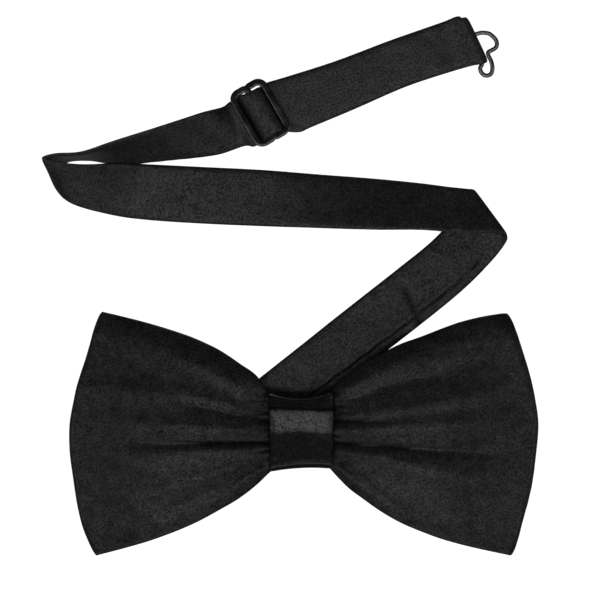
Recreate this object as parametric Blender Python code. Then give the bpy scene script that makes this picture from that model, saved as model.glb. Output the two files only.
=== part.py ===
"""A pre-tied satin bow tie on an adjustable neck strap, with its slider, hook and eye.

Units are metres and +Z is up. The tie lies face up on Z = 0. The origin is on the back of
the strap, where the strap is tacked to the knot. Places in plan are measured from the
knot's centre, and KNOT moves them into the part's own frame.
"""
import math

import bmesh
import bpy
import numpy as np
from mathutils import Matrix

# Driving dimensions
BOW_HALF_WIDTH = 0.0530        # waist to the wing's corners
WING_BULGE = 0.0065            # how far the outer edge bows out between its corners
BOW_WALL = 0.0015              # satin, interlining, satin
SATIN = 0.00035                # one skin of the bow's satin
STRAP_WIDTH = 0.0142
STRAP_THICK = 0.00104
STRAP_SATIN = 0.0002           # one skin of the strap's satin
INTERLINING = 0.0002
GAP = 0.0003                   # air between pieces that touch
KNOT_WIDTH = 0.0166
KNOT_HALF_HEIGHT = 0.0100
KNOT_HALF_DEPTH = 0.0050
KNOT_WALL = 0.0009
KNOT_MID_Z = 0.0066
WIRE_RADIUS = 0.0005           # hook and eye
SLIDER_WIRE = 0.0007
SLIDER_HALF_LENGTH = 0.0073    # across the strap, to the wire's centre
SLIDER_BAR_STEP = 0.0044       # along the strap, from one bar's centre to the next
SLIDER_CORNER = 0.0018
EYE_HALF_ACROSS = 0.0079
EYE_HALF_ALONG = 0.0036
EYE_CORNER = 0.0010
THREAD_RADIUS = 0.0002
FINE_THREAD_RADIUS = 0.00016
WAIST_THREAD_RADIUS = 0.00028
WAIST_THREAD_RISE = 0.0009     # from one turn of thread to the next
WAIST_HALF_HEIGHT = 0.0080
WAIST_HALF_DEPTH = 0.0030
GATHER_REACH = 0.0110          # how far the gathers run out from the waist
GATHER_LIFT = 0.0007           # and how far they lift the back layer's edges
LINING_INSET = 0.0006          # from the knot's sides to its lining
SLIDER_THREAD_RADIUS = 0.00012
SLIDER_THREAD_PITCH = 0.0012
SLIDER_THREAD_TURN = 0.00095   # radius of the thread's turns round the centre bar

STRAP_ANGLE = math.radians(38.35)     # the strap behind the knot
SLIDER_ANGLE = math.radians(30.0)
END_ANGLE = math.radians(26.0)        # the strap's folded end at the hook
RUN_ANGLE = math.radians(21.0)        # the doubled run before it
KNOT = np.array([0.00646, -0.00817, 0.0])
SLIDER_CENTRE = (-0.0106, 0.0819)
HOOK_FOLD = (0.0454, 0.1009)          # middle of the strap's folded end
HOOK_STITCHES = (0.0366, 0.0988)
FOLD_HINGE = (0.0482, 0.0562, 0.0014) # a place on the right fold's line
CURL_HINGE = (-0.0618, 0.0679, 0.0066)    # and on the left curl's

# Heights of the strap's centre surface
FLOOR_Z = STRAP_THICK / 2
SECOND_Z = FLOOR_Z + STRAP_THICK + GAP
BAR_TURN = WIRE_RADIUS + GAP + STRAP_THICK / 2     # a strap's turn round a wire bar
BAR_Z = FLOOR_Z + BAR_TURN
SLIDER_Z = SECOND_Z + STRAP_THICK / 2 + GAP + SLIDER_WIRE

SATIN_COLOUR = (0.012, 0.012, 0.013, 1.0)
LINING_COLOUR = (0.55, 0.55, 0.53, 1.0)
THREAD_COLOUR = (0.008, 0.008, 0.008, 1.0)
METAL_COLOUR = (0.16, 0.16, 0.17, 1.0)


def clear_scene():
    for old in list(bpy.data.objects):
        bpy.data.objects.remove(old, do_unlink=True)


def material(name, colour, roughness, metallic=0.0):
    made = bpy.data.materials.new(name)
    made.use_nodes = True
    shader = made.node_tree.nodes["Principled BSDF"]
    shader.inputs["Base Color"].default_value = colour
    shader.inputs["Roughness"].default_value = roughness
    shader.inputs["Metallic"].default_value = metallic
    return made


def satin(name):
    return material(name + "_satin", SATIN_COLOUR, 0.45)


def lining(name):
    return material(name + "_lining", LINING_COLOUR, 0.95)


def thread(name):
    return material(name + "_thread", THREAD_COLOUR, 0.7)


def metal(name):
    return material(name + "_metal", METAL_COLOUR, 0.3, 1.0)


def add_object(name, vertices, faces, finish, origin=(0.0, 0.0, 0.0)):
    """An object whose vertices are world places, with its own origin at the given place."""
    origin = np.array(origin, float)
    mesh = bpy.data.meshes.new(name)
    mesh.from_pydata([tuple(np.array(v) - origin) for v in vertices], [], faces)
    work = bmesh.new()
    work.from_mesh(mesh)
    bmesh.ops.recalc_face_normals(work, faces=work.faces)
    work.to_mesh(mesh)
    work.free()
    mesh.shade_smooth()
    mesh.set_sharp_from_angle(angle=math.radians(40))
    mesh.materials.append(finish(name))
    made = bpy.data.objects.new(name, mesh)
    made.location = origin
    bpy.context.scene.collection.objects.link(made)
    return made


def ring_faces(rings, size, closed, shift=0):
    """Quads between rings of vertices that each hold the same number of points."""
    faces = []
    for k in range(rings if closed else rings - 1):
        here = shift + k * size
        there = shift + (k + 1) % rings * size
        for i in range(size):
            j = (i + 1) % size
            faces.append((here + i, here + j, there + j, there + i))
    return faces


def loft(name, rings, finish, closed=False, origin=(0.0, 0.0, 0.0)):
    """A solid through rings of points, closed end to end or with flat ends."""
    rings = np.array(rings)
    count, size = rings.shape[:2]
    faces = ring_faces(count, size, closed)
    if not closed:
        faces.append(tuple(range(size)))
        faces.append(tuple(range((count - 1) * size, count * size)))
    return add_object(name, rings.reshape(-1, 3), faces, finish, origin)


def hollow_loft(name, outer, inner, finish, origin=(0.0, 0.0, 0.0)):
    """A tube with an outer and an inner skin, open at both ends."""
    outer, inner = np.array(outer), np.array(inner)
    count, size = outer.shape[:2]
    shift = count * size
    faces = ring_faces(count, size, False) + ring_faces(count, size, False, shift)
    for end in (0, (count - 1) * size):
        for i in range(size):
            j = (i + 1) % size
            faces.append((end + i, end + j, shift + end + j, shift + end + i))
    vertices = np.concatenate([outer.reshape(-1, 3), inner.reshape(-1, 3)])
    return add_object(name, vertices, faces, finish, origin)


def unit(vectors):
    vectors = np.array(vectors, float)
    return vectors / np.linalg.norm(vectors, axis=-1, keepdims=True)


def smooth_curve(points, per_span):
    """Points on a Catmull-Rom curve through the given ones."""
    points = np.array(points, float)
    first = 2 * points[:1] - points[1:2]
    last = 2 * points[-1:] - points[-2:-1]
    padded = np.concatenate([first, points, last])
    curve = []
    for k in range(1, len(padded) - 2):
        before, start, end, after = padded[k - 1:k + 3]
        for i in range(per_span):
            t = i / per_span
            curve.append(0.5 * (2 * start + (end - before) * t
                                + (2 * before - 5 * start + 4 * end - after) * t ** 2
                                + (3 * start - before - 3 * end + after) * t ** 3))
    curve.append(points[-1])
    return np.array(curve)


def wire(name, points, radius, finish, closed=False, sides=8, origin=(0.0, 0.0, 0.0)):
    """A round wire or thread along points in space."""
    points = np.array(points, float)
    if closed:
        along = np.roll(points, -1, axis=0) - np.roll(points, 1, axis=0)
    else:
        along = np.gradient(points, axis=0)
    along = unit(along)
    side = np.cross(along, np.array([0.0, 0.0, 1.0]))
    upright = np.linalg.norm(side, axis=1) < 0.05
    side[upright] = (1.0, 0.0, 0.0)
    side = unit(side)
    up = np.cross(side, along)
    rings = []
    for k in range(len(points)):
        turn = [2 * math.pi * i / sides for i in range(sides)]
        rings.append([points[k] + radius * (math.cos(a) * side[k] + math.sin(a) * up[k])
                      for a in turn])
    return loft(name, rings, finish, closed, origin)


# ---------------------------------------------------------------- the bow

WING_OUTLINE = ((0.0, 0.0071), (0.0089, 0.0071), (0.0106, 0.0124), (0.0158, 0.0168),
                (0.0209, 0.0201), (0.0260, 0.0228), (0.0363, 0.0266), (0.0530, 0.0312))
WING_STATIONS = (0.0, 0.0045, 0.0089, 0.0106, 0.0130, 0.0160, 0.0210, 0.0280, 0.0360,
                 0.0440, 0.0510)
FRONT_RISE = ((0.0, 0.0082), (0.0089, 0.0084), (0.0130, 0.0098), (0.0280, 0.0122),
              (0.0400, 0.0105), (0.0530, 0.0046))
BACK_RISE = ((0.0, 0.0050), (0.0110, 0.0050), (0.0380, 0.0048), (0.0530, 0.00078))
FRONT_DROOP = ((0.0, 0.0007), (0.0100, 0.0007), (0.0280, 0.0030), (0.0530, 0.0006))


def read_curve(curve, x):
    return np.interp(x, [p[0] for p in curve], [p[1] for p in curve])


def layer_point(x, across, front):
    """A place on the bow's front or back layer; across runs from -1 to 1 down the wing."""
    reach = abs(x)
    stretch = 1 + WING_BULGE * (1 - across ** 2) / BOW_HALF_WIDTH * (reach / BOW_HALF_WIDTH) ** 2
    if front:
        height = read_curve(FRONT_RISE, reach) - read_curve(FRONT_DROOP, reach) * across ** 2
    else:
        gather = max(0.0, 1 - reach / GATHER_REACH)
        height = read_curve(BACK_RISE, reach) + GATHER_LIFT * gather * across ** 2
    return np.array([x * stretch, across * read_curve(WING_OUTLINE, reach), height])


def loop_line(across):
    """Once round the bow's loop at one height: front layer, right fold, back layer, left fold."""
    line = [layer_point(x, across, True) for x in WING_STATIONS]
    back = [layer_point(x, across, False) for x in WING_STATIONS]
    top, bottom = line[-1], back[-1]
    middle, radius = (top + bottom) / 2, (top[2] - bottom[2]) / 2
    right = line + [middle + radius * np.array([math.sin(a), 0.0, math.cos(a)])
                    for a in (math.pi / 4, math.pi / 2, 3 * math.pi / 4)] + back[::-1]
    left = [np.array([-p[0], p[1], p[2]]) for p in right[::-1]]
    return np.array(right[:-1] + left[:-1])


def bow_rings(profile):
    """Rings of a (across, offset) profile, set along the bow's loop."""
    step = 0.01
    rings = []
    for across, offset in profile:
        line = loop_line(across)
        along = np.roll(line, -1, axis=0) - np.roll(line, 1, axis=0)
        down = loop_line(across + step) - loop_line(across - step)
        outward = unit(np.cross(along, down))
        rings.append(line + offset * outward)
    return np.swapaxes(np.array(rings), 0, 1) + KNOT


def bow_satin():
    """A satin tube, seamed down the middle of its inner face, and closed into a loop."""
    half, skin = BOW_WALL / 2, BOW_WALL / 2 - SATIN
    outer = [(t, half) for t in np.linspace(-1, 1, 9)]
    inner = [(t, -half) for t in (1.0, 0.5, 0.03)] + [(t, -skin) for t in (0.03, 0.5, 0.97)]
    cavity = [(t, skin) for t in np.linspace(0.97, -0.97, 9)]
    other = [(t, -skin) for t in (-0.97, -0.5, -0.03)] + [(t, -half) for t in (-0.03, -0.5, -1.0)]
    return loft("bow_satin", bow_rings(outer + inner + cavity + other), satin, True, KNOT)


def bow_interlining():
    half = INTERLINING / 2
    spread = np.linspace(-0.95, 0.95, 7)
    profile = [(t, half) for t in spread] + [(t, -half) for t in spread[::-1]]
    return loft("bow_interlining", bow_rings(profile), lining, True, KNOT)


def oval(half_height, half_depth, count, power=3.5):
    """A rounded rectangle round the waist, in the plane across it."""
    line = []
    for k in range(count):
        a = 2 * math.pi * k / count
        c, s = math.cos(a), math.sin(a)
        y = math.copysign(abs(c) ** (2 / power), c) * half_height
        z = math.copysign(abs(s) ** (2 / power), s) * half_depth
        line.append(np.array([0.0, y, KNOT_MID_Z + z]))
    return np.array(line)


def band(name, inner, outer, half_width, finish, crown=0.0):
    """A band round the waist, between two ovals, a little fuller in its middle."""
    sides = np.linspace(-1, 1, 7)
    rings = []
    for a, b in zip(inner, outer):
        swell = crown * unit(b - np.array([0.0, 0.0, KNOT_MID_Z]))
        ring = [b + (half_width * t, 0, 0) + swell * (1 - t * t) for t in sides]
        ring += [a + (half_width * t, 0, 0) for t in sides[::-1]]
        rings.append(ring)
    return loft(name, np.array(rings) + KNOT, finish, True, KNOT)


def waist_thread():
    """Three turns of thread that hold the gathered waist."""
    turns, per_turn = 3, 20
    base = oval(WAIST_HALF_HEIGHT, WAIST_HALF_DEPTH, per_turn)
    points = [base[k % per_turn] + (WAIST_THREAD_RISE * (k / per_turn - turns / 2), 0, 0)
              for k in range(turns * per_turn + 1)]
    return wire("waist_thread", np.array(points) + KNOT, WAIST_THREAD_RADIUS, thread, sides=6,
                origin=KNOT)


def knot_parts():
    count = 32
    outer = oval(KNOT_HALF_HEIGHT, KNOT_HALF_DEPTH, count)
    inner = oval(KNOT_HALF_HEIGHT - KNOT_WALL, KNOT_HALF_DEPTH - KNOT_WALL, count)
    band("knot_wrap", inner, outer, KNOT_WIDTH / 2, satin, crown=0.0003)
    room = KNOT_WALL + GAP
    skin = oval(KNOT_HALF_HEIGHT - room, KNOT_HALF_DEPTH - room, count)
    core = oval(KNOT_HALF_HEIGHT - room - INTERLINING,
                KNOT_HALF_DEPTH - room - INTERLINING, count)
    band("knot_interlining", core, skin, KNOT_WIDTH / 2 - LINING_INSET, lining)


def zigzag(name, start, end, swing, count, radius=THREAD_RADIUS):
    """A running row of stitches, drawn as one thread between two places."""
    start, end, swing = np.array(start), np.array(end), np.array(swing)
    corners = [start + (end - start) * k / count + swing * (0.5 if k % 2 else -0.5)
               for k in range(count + 1)]
    return wire(name, smooth_curve(corners, 2), radius, thread, sides=6, origin=tuple(start))


# ---------------------------------------------------------------- the strap

def direction(angle):
    return np.array([math.cos(angle), math.sin(angle), 0.0])


def flat(centre, angle, z, width=STRAP_WIDTH):
    """A level cross-section of the strap: its left edge, then its right edge."""
    side = direction(angle + math.pi / 2) * width / 2
    middle = np.array([centre[0], centre[1], z])
    return middle + side, middle - side


def behind_knot(along, z):
    """A section of the straight stretch behind the knot, measured from the tack."""
    place = direction(STRAP_ANGLE) * along - KNOT
    return flat(place[:2], STRAP_ANGLE, z)


def near(centre, angle, along, z, width=STRAP_WIDTH):
    place = np.array([centre[0], centre[1], 0.0]) + direction(angle) * along
    return flat(place[:2], angle, z, width)


EYE_PLACE = -0.0280            # the eye's bar, along the strap from the tack
SHORT_HINGE = -0.0095
LOWER_HINGE = 0.0125
END_WIDTH = 0.0121             # the strap is drawn in a little at the hook
SLIDER_WIDTH = 0.0122          # and squeezed inside the slider
HALF_CIRCLE = [math.radians(a) for a in (0, 30, 60, 90, 120, 150, 180)]


def eye_fold():
    """The short end: a flap, its turn round the eye's bar, and the run below."""
    sections = [behind_knot(a, z) for a, z in ((-0.0190, SECOND_Z), (-0.0230, SECOND_Z + 0.0001),
                                               (-0.0262, BAR_Z + BAR_TURN * 0.85))]
    for a in HALF_CIRCLE:
        sections.append(behind_knot(EYE_PLACE - BAR_TURN * math.sin(a),
                                    BAR_Z + BAR_TURN * math.cos(a)))
    sections.append(behind_knot(-0.0240, FLOOR_Z))
    return sections


def hook_fold():
    """The strap's turn round the hook's bar, from the top layer to the bottom one."""
    bar = -BAR_TURN - STRAP_THICK / 2
    sections = []
    for a in HALF_CIRCLE:
        sections.append(near(HOOK_FOLD, END_ANGLE, bar + BAR_TURN * math.sin(a),
                             BAR_Z + BAR_TURN * math.cos(a), END_WIDTH))
    return sections


# Left edge, then right edge, where the strap isn't level: it folds over at the right, and
# stands on its edge as it curls over at the left
RIGHT_FOLD = (((0.0095, 0.0299, 0.00052), (0.0187, 0.0183, 0.00052)),
              ((0.0253, 0.0423, 0.00052), (0.0345, 0.0306, 0.00052)),
              ((0.0335, 0.0490, 0.00052), (0.0429, 0.0377, 0.00052)),
              ((0.0395, 0.0554, 0.00060), (0.0491, 0.0441, 0.00055)),
              ((0.0430, 0.0603, 0.00110), (0.0522, 0.0481, 0.00110)),
              ((0.0440, 0.0621, 0.00190), (0.0528, 0.0499, 0.00220)),
              ((0.0424, 0.0624, 0.00250), (0.0510, 0.0509, 0.00380)))
MIDDLE_RUN = (((0.0377, 0.0629, 0.00250), (0.0410, 0.0511, 0.00620)),
              ((0.0300, 0.0639, 0.00170), (0.0306, 0.0517, 0.00740)),
              ((0.0180, 0.0651, 0.00080), (0.0182, 0.0519, 0.00560)),
              ((0.0050, 0.0661, 0.00055), (0.0050, 0.0523, 0.00300)),
              ((-0.0100, 0.0673, 0.00052), (-0.0100, 0.0528, 0.00090)),
              ((-0.0260, 0.0681, 0.00070), (-0.0260, 0.0535, 0.00052)),
              ((-0.0390, 0.0684, 0.00200), (-0.0393, 0.0544, 0.00052)))
LEFT_CURL = (((-0.0470, 0.0685, 0.00500), (-0.0482, 0.0556, 0.00060)),
             ((-0.0565, 0.0685, 0.00940), (-0.0580, 0.0582, 0.00080)),
             ((-0.0634, 0.0692, 0.01140), (-0.0622, 0.0612, 0.00070)),
             ((-0.0659, 0.0701, 0.01260), (-0.0636, 0.0656, 0.00060)),
             ((-0.0628, 0.0709, 0.01370), (-0.0604, 0.0693, 0.00060)),
             ((-0.0563, 0.0713, 0.01420), (-0.0546, 0.0699, 0.00060)),
             ((-0.0485, 0.0740, 0.01350), (-0.0464, 0.0691, 0.00060)))
UPPER_RUN = (((-0.0410, 0.0765, 0.01250), (-0.0388, 0.0692, 0.00060)),
             ((-0.0318, 0.0795, 0.01080), (-0.0284, 0.0703, 0.00060)),
             ((-0.0252, 0.0819, 0.00720), (-0.0208, 0.0714, 0.00060)),
             ((-0.0204, 0.0834, 0.00230), (-0.0146, 0.0734, 0.00090)))


def strap_route():
    """Cross-sections of the whole strap, from its short end to the slider's centre bar."""
    sections = eye_fold()
    sections += [behind_knot(a, FLOOR_Z) for a in (-0.016, -0.008, 0.0, 0.008, 0.016)]
    for stretch in (RIGHT_FOLD, MIDDLE_RUN, LEFT_CURL, UPPER_RUN):
        sections += [(np.array(left), np.array(right)) for left, right in stretch]
    over_bar = ((-0.0058, 0.00160), (-0.0036, 0.00190), (-0.0026, 0.00290),
                (-0.0016, 0.00440), (0.0, 0.00500), (0.0016, 0.00440), (0.0026, 0.00290),
                (0.0036, 0.00200), (0.0055, SECOND_Z))
    sections += [near(SLIDER_CENTRE, SLIDER_ANGLE, a, z, SLIDER_WIDTH) for a, z in over_bar]
    sections += [flat((-0.0010, 0.0848), math.radians(22), SECOND_Z, 0.0140),
                 flat((0.0110, 0.0891), math.radians(21), SECOND_Z, 0.0131),
                 flat((0.0240, 0.0944), math.radians(20), SECOND_Z, 0.0124),
                 flat((0.0325, 0.0974), math.radians(19.5), SECOND_Z, 0.0124),
                 flat((0.0388, 0.0996), math.radians(21), SECOND_Z, 0.0124),
                 (np.array([0.0396, 0.10605, 0.00270]), np.array([0.0439, 0.09445, 0.00270]))]
    sections += hook_fold()
    sections += [(np.array([0.0399, 0.1067, FLOOR_Z]), np.array([0.0436, 0.0940, FLOOR_Z])),
                 flat((0.0330, 0.0973), math.radians(19.5), FLOOR_Z, 0.0124),
                 flat((0.0240, 0.0942), math.radians(20), FLOOR_Z, 0.0124),
                 flat((0.0110, 0.0889), math.radians(21), FLOOR_Z, 0.0131),
                 flat((0.0, 0.0848), math.radians(22), FLOOR_Z, 0.0140),
                 flat((-0.0035, 0.0835), math.radians(23), FLOOR_Z, STRAP_WIDTH),
                 near(SLIDER_CENTRE, SLIDER_ANGLE, 0.0012, 0.00090, SLIDER_WIDTH),
                 near(SLIDER_CENTRE, SLIDER_ANGLE, -0.0016, 0.00090, SLIDER_WIDTH)]
    return np.array(sections) + KNOT


class Strap:
    """The strap's route, cut into runs by the place of their ends along it."""

    def __init__(self):
        edges = smooth_curve(strap_route(), 8)
        self.edges = edges
        self.middle = edges.mean(axis=1)
        steps = np.linalg.norm(np.diff(self.middle, axis=0), axis=1)
        self.length = np.concatenate([[0.0], np.cumsum(steps)])

    def nearest(self, place, low=0.0, high=1.0):
        """How far along the strap a place is, within a part of the strap's length."""
        end = self.length[-1]
        inside = (self.length >= low * end) & (self.length <= high * end)
        away = np.linalg.norm(self.middle - np.array(place), axis=1)
        away[~inside] = np.inf
        return self.length[int(np.argmin(away))]

    def frames(self, start, end, step):
        count = max(2, int(math.ceil((end - start) / step)) + 1)
        places = np.linspace(start, end, count)
        left, right = [np.stack([np.interp(places, self.length, self.edges[:, side, i])
                                 for i in range(3)], axis=1) for side in (0, 1)]
        fine = np.stack([np.interp(places + 1e-4, self.length, self.middle[:, i])
                         - np.interp(places - 1e-4, self.length, self.middle[:, i])
                         for i in range(3)], axis=1)
        side = left - right
        width = np.linalg.norm(side, axis=1, keepdims=True)
        side = side / width
        up = unit(np.cross(fine, side))
        return (left + right) / 2, side, up, width

    def rings(self, start, end, step, narrower, thick):
        middle, side, up, width = self.frames(start, end, step)
        reach = side * (width / 2 - narrower)
        rise = up * thick / 2
        corners = (reach + rise, -reach + rise, -reach - rise, reach - rise)
        return np.stack([middle + corner for corner in corners], axis=1)

    def run(self, name, start, end, step, origin):
        start, end = start + GAP / 2, end - GAP / 2
        outer = self.rings(start, end, step, 0.0, STRAP_THICK)
        inner = self.rings(start, end, step, STRAP_SATIN, STRAP_THICK - 2 * STRAP_SATIN)
        return hollow_loft(name, outer, inner, satin, origin)

    def filler(self, name, start, end, step, origin):
        rings = self.rings(start + GAP, end - GAP, step, STRAP_SATIN + 2 * GAP, INTERLINING)
        return loft(name, rings, lining, False, origin)


# ---------------------------------------------------------------- the metal pieces

def place_near(centre, angle, along, across, z):
    flat_place = np.array([centre[0], centre[1], z]) + direction(angle) * along
    return flat_place + direction(angle + math.pi / 2) * across


def rounded_loop(half_across, half_along, corner, count):
    """A closed rectangle with round corners, as (along, across) places."""
    places = []
    for quarter, (a_sign, b_sign) in enumerate(((1, 1), (-1, 1), (-1, -1), (1, -1))):
        for k in range(count + 1):
            a = math.pi / 2 * (quarter + k / count)
            places.append((a_sign * (half_along - corner) + corner * math.cos(a),
                           b_sign * (half_across - corner) + corner * math.sin(a)))
    return places


def slider():
    """Two rounded rings side by side, joined along the centre bar that they share."""
    half_step = SLIDER_BAR_STEP / 2
    outline = rounded_loop(SLIDER_HALF_LENGTH, half_step, SLIDER_CORNER, 4)
    for name, middle in (("slider_frame", -half_step), ("slider_second_ring", half_step)):
        points = [place_near(SLIDER_CENTRE, SLIDER_ANGLE, middle + a, b, SLIDER_Z)
                  for a, b in outline]
        wire(name, np.array(points) + KNOT, SLIDER_WIRE, metal, closed=True, origin=slider_origin())
    frame = bpy.data.objects["slider_frame"]
    second = bpy.data.objects["slider_second_ring"]
    second.hide_render = True
    second.display_type = "WIRE"
    join = frame.modifiers.new("join", "BOOLEAN")
    join.operation = "UNION"
    join.solver = "EXACT"
    join.object = second


def slider_origin():
    return tuple(np.array([SLIDER_CENTRE[0], SLIDER_CENTRE[1], SLIDER_Z]) + KNOT)


def slider_tack():
    """Thread round the centre bar, which the strap's end is sewn to."""
    turns, per_turn = 5, 8
    points = []
    for k in range(turns * per_turn + 1):
        a = 2 * math.pi * k / per_turn
        points.append(place_near(SLIDER_CENTRE, SLIDER_ANGLE, SLIDER_THREAD_TURN * math.cos(a),
                                 SLIDER_THREAD_PITCH * (k / per_turn - turns / 2),
                                 SLIDER_Z + SLIDER_THREAD_TURN * math.sin(a)))
    return wire("slider_tack", np.array(points) + KNOT, SLIDER_THREAD_RADIUS, thread, sides=6,
                origin=slider_origin())


def bar_place():
    """The middle of the hook's bar, inside the strap's fold."""
    return place_near(HOOK_FOLD, END_ANGLE, -BAR_TURN - STRAP_THICK / 2, 0.0, BAR_Z)


HOOK_SLOT = 0.0017             # where the wire leaves the fold, across the strap
SLOT_SIZE = (0.0060, 0.0024, 0.0100)
SLOT_REACH = 0.0027            # the slot's middle, outward from the hook's bar
HOOK_OUTLINE = ((0.0453, 0.1023), (0.0466, 0.1025), (0.0481, 0.1023), (0.0492, 0.1015),
                (0.0500, 0.1005), (0.0502, 0.0993), (0.0497, 0.0985), (0.0489, 0.0980),
                (0.0482, 0.0975), (0.0482, 0.0967), (0.0487, 0.0955), (0.0490, 0.0941),
                (0.0490, 0.0928), (0.0487, 0.0920), (0.0478, 0.0915), (0.0468, 0.0917),
                (0.0461, 0.0925), (0.0459, 0.0935))


def hook():
    """One closed wire: a bar in the fold, a large lobe outside it, and a small lobe below."""
    middle = bar_place()
    along = direction(END_ANGLE + math.pi / 2)
    out = direction(END_ANGLE)
    bar = [middle - 0.0060 * along, middle - 0.0030 * along, middle - 0.0008 * along,
           middle + 0.0006 * along, middle + 0.0014 * along + 0.0005 * out]
    lobes = [np.array([x, y, BAR_Z]) for x, y in HOOK_OUTLINE]
    route = np.array(bar + lobes)
    spans = 2
    curve = smooth_curve(np.concatenate([route[-1:], route, route[:2]]), spans)[spans:-spans]
    return wire("hook", curve + KNOT, WIRE_RADIUS, metal, closed=True, origin=tuple(middle + KNOT))


def hook_slot(fold):
    """The buttonholed slot in the fold that the hook's wire comes out through."""
    middle = bar_place() + HOOK_SLOT * direction(END_ANGLE + math.pi / 2) + KNOT
    bpy.ops.mesh.primitive_cube_add(size=1.0)
    cutter = bpy.context.object
    cutter.name = "slot_cutter"
    cutter.data.transform(Matrix.Diagonal((*SLOT_SIZE, 1.0)))
    cutter.location = tuple(middle + SLOT_REACH * direction(END_ANGLE))
    cutter.rotation_euler = (0.0, 0.0, END_ANGLE)
    cutter.hide_render = True
    cutter.display_type = "WIRE"
    cut = fold.modifiers.new("slot", "BOOLEAN")
    cut.operation = "DIFFERENCE"
    cut.solver = "EXACT"
    cut.object = cutter


def eye():
    """A wire ring through the short end's fold, which the hook catches."""
    outline = rounded_loop(EYE_HALF_ACROSS, EYE_HALF_ALONG, EYE_CORNER, 4)
    centre = direction(STRAP_ANGLE) * (EYE_PLACE - EYE_HALF_ALONG) - KNOT
    points = [place_near(centre[:2], STRAP_ANGLE, a, b, BAR_Z) for a, b in outline]
    origin = direction(STRAP_ANGLE) * EYE_PLACE + (0.0, 0.0, BAR_Z)
    return wire("eye", np.array(points) + KNOT, WIRE_RADIUS, metal, closed=True, origin=tuple(origin))


# ---------------------------------------------------------------- assembly

def strap_parts():
    """The strap cut into its runs, each with its own step between cross-sections."""
    strap = Strap()
    tack_line = direction(STRAP_ANGLE)
    short = strap.nearest(tack_line * SHORT_HINGE, 0.0, 0.2)
    lower = strap.nearest(tack_line * LOWER_HINGE, 0.0, 0.3)
    fold_in = strap.nearest(np.array([0.0380, 0.0436, FLOOR_Z]) + KNOT, 0.1, 0.4)
    fold_out = strap.nearest(np.array([0.0345, 0.0574, 0.0046]) + KNOT, 0.2, 0.5)
    curl_in = strap.nearest(np.array([-0.0440, 0.0617, 0.0025]) + KNOT, 0.3, 0.7)
    curl_out = strap.nearest(np.array([-0.0440, 0.0730, 0.0070]) + KNOT, 0.45, 0.8)
    slider_in = strap.nearest(np.array([-0.0190, 0.0783, 0.0020]) + KNOT, 0.5, 0.9)
    slider_out = strap.nearest(np.array([-0.0020, 0.0848, SECOND_Z]) + KNOT, 0.5, 0.9)
    hook_in = strap.nearest(np.array([0.0360, 0.0970, SECOND_Z]) + KNOT, 0.6, 0.9)
    hook_out = strap.nearest(np.array([0.0360, 0.0970, FLOOR_Z]) + KNOT, 0.75, 1.0)
    end = strap.length[-1]

    lower_at = tuple(tack_line * LOWER_HINGE)
    short_at = tuple(tack_line * SHORT_HINGE)
    fold_at = tuple(np.array(FOLD_HINGE) + KNOT)
    curl_at = tuple(np.array(CURL_HINGE) + KNOT)
    slider_at = slider_origin()
    strap.run("strap_short_end", 0.0, short, 0.0011, short_at)
    strap.run("strap_anchor", short, lower, 0.006, (0.0, 0.0, 0.0))
    strap.run("strap_diagonal", lower, fold_in, 0.006, lower_at)
    strap.run("strap_right_fold", fold_in, fold_out, 0.0014, fold_at)
    strap.run("strap_middle", fold_out, curl_in, 0.005, fold_at)
    strap.run("strap_left_curl", curl_in, curl_out, 0.0022, curl_at)
    strap.run("strap_single", curl_out, slider_in, 0.003, curl_at)
    strap.run("strap_through_slider", slider_in, slider_out, 0.0008, slider_at)
    strap.run("strap_doubled_top", slider_out, hook_in, 0.006, slider_at)
    fold = strap.run("strap_end_fold", hook_in, hook_out, 0.0009, slider_at)
    hook_slot(fold)
    strap.run("strap_doubled_bottom", hook_out, end, 0.0025, slider_at)
    strap.filler("interlining_diagonal", lower, fold_in, 0.006, lower_at)
    strap.filler("interlining_middle", fold_out, curl_in, 0.005, fold_at)
    strap.filler("interlining_single", curl_out, slider_in, 0.003, curl_at)
    strap.filler("interlining_doubled_top", slider_out, hook_in, 0.006, slider_at)
    strap.filler("interlining_doubled_bottom", hook_out, end, 0.0025, slider_at)


def stitches():
    """Every visible or hidden row of hand stitches."""
    ahead = direction(STRAP_ANGLE)
    side = direction(STRAP_ANGLE + math.pi / 2)
    edge = -side * (STRAP_WIDTH / 2 + 0.0006) + (0.0, 0.0, 0.0008)
    zigzag("strap_tack", edge - ahead * 0.0050, edge + ahead * 0.0070, (0.0, 0.0, 0.0007), 12)
    zigzag("knot_tack", KNOT + (0.0020, -0.0075, 0.0012), KNOT + (0.0020, -0.0020, 0.0012),
           (0.0014, 0.0, 0.0), 8, FINE_THREAD_RADIUS)
    z = SECOND_Z + STRAP_THICK / 2 + GAP + 0.0001
    row = ahead * -0.0205 + (0.0, 0.0, z)
    zigzag("eye_stitches", row - side * 0.0058, row + side * 0.0058, ahead * 0.0010, 14,
           FINE_THREAD_RADIUS)
    row = np.array([*HOOK_STITCHES, z]) + KNOT
    across = direction(RUN_ANGLE + math.pi / 2)
    zigzag("hook_stitches", row - across * 0.0052, row + across * 0.0052,
           direction(RUN_ANGLE) * 0.0010, 14, FINE_THREAD_RADIUS)


def build():
    clear_scene()
    bow_satin()
    bow_interlining()
    waist_thread()
    knot_parts()
    strap_parts()
    slider()
    slider_tack()
    hook()
    eye()
    stitches()


build()
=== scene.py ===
"""The looks of a pre-tied satin bow tie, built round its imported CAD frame.

Units are metres and +Z is up. Places in plan are measured from the knot's centre, and KNOT
moves them into the part's own frame.
"""
import math

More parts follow.
